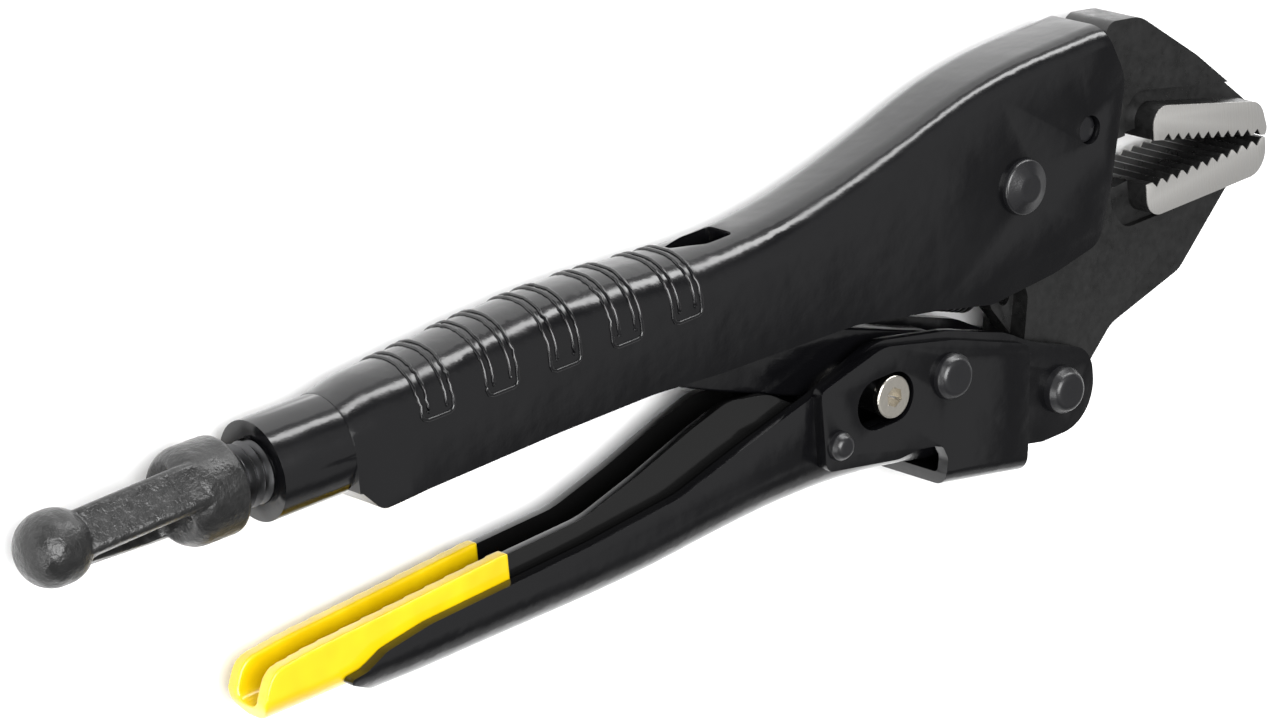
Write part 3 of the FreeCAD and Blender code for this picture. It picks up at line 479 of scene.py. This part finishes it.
def helix_tree(name, material):
    tree, given, out = new_tree(name, Radius=0.005, Length=0.05, Pitch=0.0015, Across=0.0008,
                                Along=0.00075, Sides=4.0)
    turns = value_of(tree, "DIVIDE", given.outputs["Length"], given.outputs["Pitch"])
    spiral = add(tree, "GeometryNodeCurveSpiral", Resolution=48)
    tree.links.new(turns, spiral.inputs["Rotations"])
    tree.links.new(given.outputs["Radius"], spiral.inputs["Start Radius"])
    tree.links.new(given.outputs["Radius"], spiral.inputs["End Radius"])
    tree.links.new(given.outputs["Length"], spiral.inputs["Height"])
    upright = tree.nodes.new("GeometryNodeSetCurveNormal")
    upright.mode = "Z_UP"
    tree.links.new(spiral.outputs["Curve"], upright.inputs["Curve"])
    profile = add(tree, "GeometryNodeCurvePrimitiveCircle", Radius=1.0)
    tree.links.new(given.outputs["Sides"], profile.inputs["Resolution"])
    stretched = tree.nodes.new("GeometryNodeTransform")
    both = tree.nodes.new("ShaderNodeCombineXYZ")
    tree.links.new(given.outputs["Across"], both.inputs["X"])
    tree.links.new(given.outputs["Along"], both.inputs["Y"])
    both.inputs["Z"].default_value = 1.0
    tree.links.new(both.outputs["Vector"], stretched.inputs["Scale"])
    tree.links.new(profile.outputs["Curve"], stretched.inputs["Geometry"])
    sweep = add(tree, "GeometryNodeCurveToMesh", Fill_Caps=True)
    tree.links.new(upright.outputs["Curve"], sweep.inputs["Curve"])
    tree.links.new(stretched.outputs["Geometry"], sweep.inputs["Profile Curve"])
    finish_tree(tree, sweep.outputs["Mesh"], out, material)
    return tree


def stand_along(made, start, direction):
    """Lays a mesh that grows along its own Z along a direction from a start point."""
    turn = Vector(direction).normalized().to_track_quat("Z", "Y").to_matrix().to_4x4()
    made.data.transform(Matrix.Translation(place(*start)) @ turn)


def tube_between(name, start, end, radius, material, sides=64):
    """A closed round bar between two places of the tool."""
    work = bmesh.new()
    length = (Vector(end) - Vector(start)).length
    bmesh.ops.create_cone(work, cap_ends=True, segments=sides, radius1=radius * MM,
                          radius2=radius * MM, depth=length * MM,
                          matrix=Matrix.Translation((0, 0, length * MM / 2)))
    mesh = bpy.data.meshes.new(name)
    work.to_mesh(mesh)
    work.free()
    made = bpy.data.objects.new(name, mesh)
    bpy.context.scene.collection.objects.link(made)
    mesh.materials.append(material)
    stand_along(made, start, Vector(end) - Vector(start))
    return made


def joined(first, *others):
    """Several mesh objects made one."""
    with bpy.context.temp_override(active_object=first, selected_editable_objects=[first, *others]):
        bpy.ops.object.join()
    return first


thread_end = rod_to.x - SPIGOT - 0.4
thread = grow("screw_thread", helix_tree("helix", oiled_steel),
              Radius=(CREST - DEPTH) * MM, Length=(thread_end - rod_from.x - 0.4) * MM,
              Pitch=PITCH * MM, Across=DEPTH * MM, Along=PITCH / 2 * MM, Sides=4.0)
stand_along(thread, (rod_from.x + 0.4, 0, 0), (1, 0, 0))
core = tube_between("screw_core", (rod_from.x, 0, 0), (rod_to.x - SPIGOT, 0, 0),
                    CREST - DEPTH + 0.05, oiled_steel)
spigot = tube_between("screw_spigot", (rod_to.x - SPIGOT - 0.5, 0, 0), (rod_to.x, 0, 0), 2.5,
                      oiled_steel)
screw = joined(thread, core, spigot)
shade(screw, 25)
stand_for(screw, "screw_rod")
print("screw:", len(screw.data.polygons), "faces")

# %% [markdown]
# The jaw spring is an extension coil hooked to the movable jaw and to a tongue under the
# handle. The solid is only a closed tube that says how much room it needs. Here the coil is
# the same helix tree with a round profile, and the two hooks and their leads are swept along
# short curves. The spring joins two bodies, so it is blended: one end stays with the handle,
# the other follows the jaw.

# %% Jaw spring
WIRE = 0.5
COIL = 2.7
spring_low, spring_high = tool_box("jaw_spring")
JAW_EYE = Vector((152.0, -18.6, 0.0))
TONGUE_EYE = Vector((93.85, 2.0, 0.0))
pull = (TONGUE_EYE - JAW_EYE).normalized()
HOOK = 2.6
lift = Vector((-pull.y, pull.x, 0))
coil_start = JAW_EYE + pull * (2 * HOOK + 2.0)
coil_end = TONGUE_EYE - pull * (HOOK + 2.0)
coil = grow("spring_coil", helix_tree("coil_helix", spring_steel), Radius=COIL * MM,
            Length=(coil_end - coil_start).length * MM, Pitch=0.00118, Across=WIRE * MM,
            Along=WIRE * MM, Sides=10.0)
stand_along(coil, coil_start, pull)


def wire_along(name, points, closed=False):
    """A round wire through places of the tool."""
    curve = bpy.data.curves.new(name, "CURVE")
    curve.dimensions = "3D"
    curve.bevel_depth = WIRE * MM
    curve.bevel_resolution = 3
    curve.use_fill_caps = True
    line = curve.splines.new("POLY")
    line.points.add(len(points) - 1)
    for point, where in zip(line.points, points):
        point.co = (*place(*where), 1.0)
    line.use_cyclic_u = closed
    made = bpy.data.objects.new(name, curve)
    bpy.context.scene.collection.objects.link(made)
    bpy.context.view_layer.update()
    mesh = bpy.data.meshes.new_from_object(
        made.evaluated_get(bpy.context.evaluated_depsgraph_get()))
    bpy.data.objects.remove(made)
    made = bpy.data.objects.new(name, mesh)
    bpy.context.scene.collection.objects.link(made)
    mesh.materials.clear()
    mesh.materials.append(spring_steel)
    return made


def ring(centre, radius, first, second):
    """Points round a circle whose plane holds two directions."""
    return [centre + first * radius * math.cos(a) + second * radius * math.sin(a)
            for a in [math.radians(10 * i) for i in range(36)]]


across = Vector((0, 0, 1))
hooks = [
    wire_along("front_hook", ring(JAW_EYE + pull * HOOK, HOOK, pull, across), True),
    wire_along("rear_hook", ring(TONGUE_EYE, HOOK, pull, lift), True),
    wire_along("front_lead", [JAW_EYE + pull * 2 * HOOK, coil_start - pull * 0.4,
                              coil_start + lift * COIL * 0.6, coil_start + pull * 0.4 + lift * COIL]),
    wire_along("rear_lead", [TONGUE_EYE - pull * HOOK, coil_end + pull * 0.4,
                             coil_end + lift * COIL * 0.6, coil_end - pull * 0.4 + lift * COIL])]
spring = joined(coil, *hooks)
spring.name = "coil_spring"
shade(spring, 60)
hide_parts("jaw_spring")
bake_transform(spring, "fixed_frame", "moving_jaw", start=place(*coil_end), end=place(*coil_start))
print("spring", len(spring.data.polygons), "faces")

# %% [markdown]
# The grip carries five groups of pressed ribs. Each group is an upside-down U laid over the
# spine with two shorter ribs inside it. One group is drawn as bare edges on a roomy arch
# round the handle, and the tree repeats it along the grip, drops every point onto the
# handle with Geometry Proximity, and sweeps a small bead along it. The count, the step and
# the bead's radius are inputs, so the pattern follows the handle's swell by itself.

# %% Grip ribs
RIB_FIRST = 25.4
RIB_STEP = 12.46
RIB_COUNT = 5
RIB_WIDTH = 6.0


def arch(x, foot, radius=12.0, middle=3.0, steps=40):
    """Places on an arch over the handle at one station, from the near foot to the far one."""
    side = [(x, foot + (middle - foot) * i / 6, radius) for i in range(6)]
    over = [(x, middle + radius * math.sin(math.pi * i / steps),
             radius * math.cos(math.pi * i / steps)) for i in range(steps + 1)]
    return side + over + [(px, py, -pz) for px, py, pz in reversed(side)]


def rib_group():
    """The edges of one group of ribs, as a mesh."""
    near = arch(RIB_FIRST, 2.4)
    far = list(reversed(arch(RIB_FIRST + RIB_WIDTH, 2.4)))
    foot = [(RIB_FIRST + dx, y, 12.0) for dx, y in
            ((RIB_WIDTH - 0.3, 1.7), (RIB_WIDTH - 1.0, 1.4), (RIB_WIDTH / 2, 1.4), (1.0, 1.4),
             (0.3, 1.7))]
    loop = near + [(x, y, -z) for x, y, z in reversed(foot)] + far + foot
    lines = [(loop, True), (arch(RIB_FIRST + 1.35, 3.2), False),
             (arch(RIB_FIRST + RIB_WIDTH - 1.35, 3.2), False)]
    points, edges = [], []
    for line, closed in lines:
        first = len(points)
        points += [place(*p) for p in line]
        edges += [(first + i, first + i + 1) for i in range(len(line) - 1)]
        if closed:
            edges.append((first + len(line) - 1, first))
    mesh = bpy.data.meshes.new("rib_group")
    mesh.from_pydata(points, edges, [])
    made = bpy.data.objects.new("rib_group", mesh)
    bpy.context.scene.collection.objects.link(made)
    return made


def rib_tree(handle, material):
    tree, given, out = new_tree("ribs", Step=0.012, Count=5.0, Bead=0.0004, Sink=0.0001)
    row = tree.nodes.new("GeometryNodeMeshLine")
    tree.links.new(given.outputs["Count"], row.inputs["Count"])
    step = tree.nodes.new("ShaderNodeCombineXYZ")
    tree.links.new(given.outputs["Step"], step.inputs["X"])
    tree.links.new(step.outputs["Vector"], row.inputs["Offset"])
    repeat = tree.nodes.new("GeometryNodeInstanceOnPoints")
    tree.links.new(row.outputs["Mesh"], repeat.inputs["Points"])
    tree.links.new(given.outputs["Geometry"], repeat.inputs["Instance"])
    flat = tree.nodes.new("GeometryNodeRealizeInstances")
    tree.links.new(repeat.outputs["Instances"], flat.inputs["Geometry"])
    target = add(tree, "GeometryNodeObjectInfo", Object=handle)
    near = add(tree, "GeometryNodeProximity", target_element="FACES")
    tree.links.new(target.outputs["Geometry"], near.inputs[0])
    drop = tree.nodes.new("GeometryNodeSetPosition")
    tree.links.new(flat.outputs["Geometry"], drop.inputs["Geometry"])
    tree.links.new(near.outputs["Position"], drop.inputs["Position"])
    curve = tree.nodes.new("GeometryNodeMeshToCurve")
    tree.links.new(drop.outputs["Geometry"], curve.inputs["Mesh"])
    bead = add(tree, "GeometryNodeCurvePrimitiveCircle", Resolution=8)
    tree.links.new(given.outputs["Bead"], bead.inputs["Radius"])
    sweep = add(tree, "GeometryNodeCurveToMesh", Fill_Caps=True)
    tree.links.new(curve.outputs["Curve"], sweep.inputs["Curve"])
    tree.links.new(bead.outputs["Curve"], sweep.inputs["Profile Curve"])
    finish_tree(tree, sweep.outputs["Mesh"], out, material)
    return tree


ribs = grow("grip_ribs", rib_tree(bpy.data.objects["fixed_handle_soft"], black_paint),
            rib_group(), Step=RIB_STEP * MM, Count=float(RIB_COUNT), Bead=0.00034)
shade(ribs, 60)
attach(ribs, "fixed_frame")

# %% [markdown]
# The dipped tip is thick and soft: its rims are round all over. A bevel can't do that on a
# coat that is a thin skin round the lever, so the coat and the stretch of lever inside it are
# made one block, remeshed in small even cells and relaxed until the rims are round.

# %% Dipped tip
def relaxed(name, parts, cell, rounds, cut_at=None):
    """One smooth block made from several solids; cut_at keeps only what is behind a station."""
    copies = [merged_copy(part, name if i == 0 else name + str(i))
              for i, part in enumerate(parts)]
    for copy in copies:
        copy.data.materials.clear()
        if cut_at is not None:
            work = bmesh.new()
            work.from_mesh(copy.data)
            cut = bmesh.ops.bisect_plane(work, geom=work.verts[:] + work.edges[:] + work.faces[:],
                                         plane_co=place(cut_at, 0, 0), plane_no=(1, 0, 0),
                                         clear_outer=True)
            rim = [e for e in cut["geom_cut"] if isinstance(e, bmesh.types.BMEdge)]
            bmesh.ops.holes_fill(work, edges=rim)
            work.to_mesh(copy.data)
            work.free()
    made = joined(copies[0], *copies[1:]) if len(copies) > 1 else copies[0]
    cells = made.modifiers.new("cells", "REMESH")
    cells.mode = "VOXEL"
    cells.voxel_size = cell * MM
    relax = made.modifiers.new("relax", "SMOOTH")
    relax.factor = 0.5
    relax.iterations = rounds
    as_plain_mesh(made)
    made.data.shade_smooth()
    print(f"{name:24s} {len(made.data.polygons):6d} faces")
    return made


tip_low, tip_high = tool_box("release_tip_coating")
tip = relaxed("dipped_tip", ["release_tip_coating", "release_lever"], 0.28, 6, tip_high.x - 0.02)
tip.data.materials.clear()
tip.data.materials.append(coating)
stand_for(tip, "release_tip_coating")

# %% [markdown]
# The torque head is one rough forging: boss, arms and knob flow into each other. The same
# relaxing gives the solid those soft joins, and the forged finish adds the lumps.

# %% Torque head
head = relaxed("forged_head", ["torque_head"], 0.22, 5)
head.data.materials.clear()
head.data.materials.append(forged_black)
stand_for(head, "torque_head")
print("torque head:", len(head.data.polygons), "faces")

# %% [markdown]
# Black tools on white only read by their reflections. A plain white world would turn every
# surface grey, so the world is bright above and below and dark in a band between, and that band
# is what the sides of the handles mirror. Three softboxes then draw the highlights: one over
# the tool, a long one along its spine and one at the left. The floor is matt and only holds the
# shadow.

# %% Floor, lights and camera
floor_mesh = bpy.data.meshes.new("floor")
floor_mesh.from_pydata([(-3, -3, 0), (3, -3, 0), (3, 3, 0), (-3, 3, 0)], [], [(0, 1, 2, 3)])
floor = bpy.data.objects.new("floor", floor_mesh)
bpy.context.scene.collection.objects.link(floor)
floor_finish, _, _ = new_material("floor", Base_Color=(0.95, 0.95, 0.95, 1), Roughness=0.9,
                                  Specular_IOR_Level=0.0)
floor_mesh.materials.append(floor_finish)

world = bpy.data.worlds.new("studio")
bpy.context.scene.world = world
world.use_nodes = True
sky = world.node_tree
background = sky.nodes["Background"]
background.inputs["Strength"].default_value = 1.0
way = add(sky, "ShaderNodeTexCoord")
height = add(sky, "ShaderNodeSeparateXYZ")
sky.links.new(way.outputs["Generated"], height.inputs["Vector"])
sky.links.new(ramp(sky, height.outputs["Z"], [(0.0, 0.9), (0.3, 0.65), (0.46, 0.14), (0.6, 0.14),
                                               (0.71, 0.5), (1.0, 0.55)]), background.inputs["Color"])
bpy.context.scene.view_settings.view_transform = "Standard"


def softbox(name, direction, distance, width, height, power):
    """An area light that looks at the middle of the tool."""
    light = bpy.data.lights.new(name, "AREA")
    light.shape = "RECTANGLE"
    light.size = width
    light.size_y = height
    light.energy = power
    made = bpy.data.objects.new(name, light)
    way = Vector(direction).normalized()
    made.location = way * distance
    made.rotation_mode = "QUATERNION"
    made.rotation_quaternion = way.to_track_quat("Z", "Y")
    bpy.context.scene.collection.objects.link(made)
    return made


softbox("over", (-0.35, 0.3, 0.9), 1.3, 0.9, 0.9, 30)
softbox("spine", (0.5, 0.8, 0.33), 1.1, 1.1, 0.22, 9)
softbox("left", (-0.9, -0.1, 0.35), 1.2, 0.8, 0.25, 5)

camera_data = bpy.data.cameras.new("camera")
camera_data.sensor_width = 36.0
camera_data.lens = 143.507
camera_data.clip_start = 0.05
camera = bpy.data.objects.new("camera", camera_data)
bpy.context.scene.collection.objects.link(camera)
EYE = (-399.5, 264.3, 561.3)
RIGHT = Vector((0.74147, -0.08224, 0.66592))
DOWN = Vector((-0.28928, -0.93467, 0.20668))
AHEAD = Vector((0.60542, -0.34589, -0.71682))
turn = Matrix((RIGHT, -DOWN, -AHEAD)).transposed()
camera.matrix_world = Matrix.Translation(place(*EYE)) @ turn.to_4x4()
bpy.context.scene.camera = camera

# %% [markdown]
# The last cell brings the scene up to date.

# %% Close
bpy.context.view_layer.update()
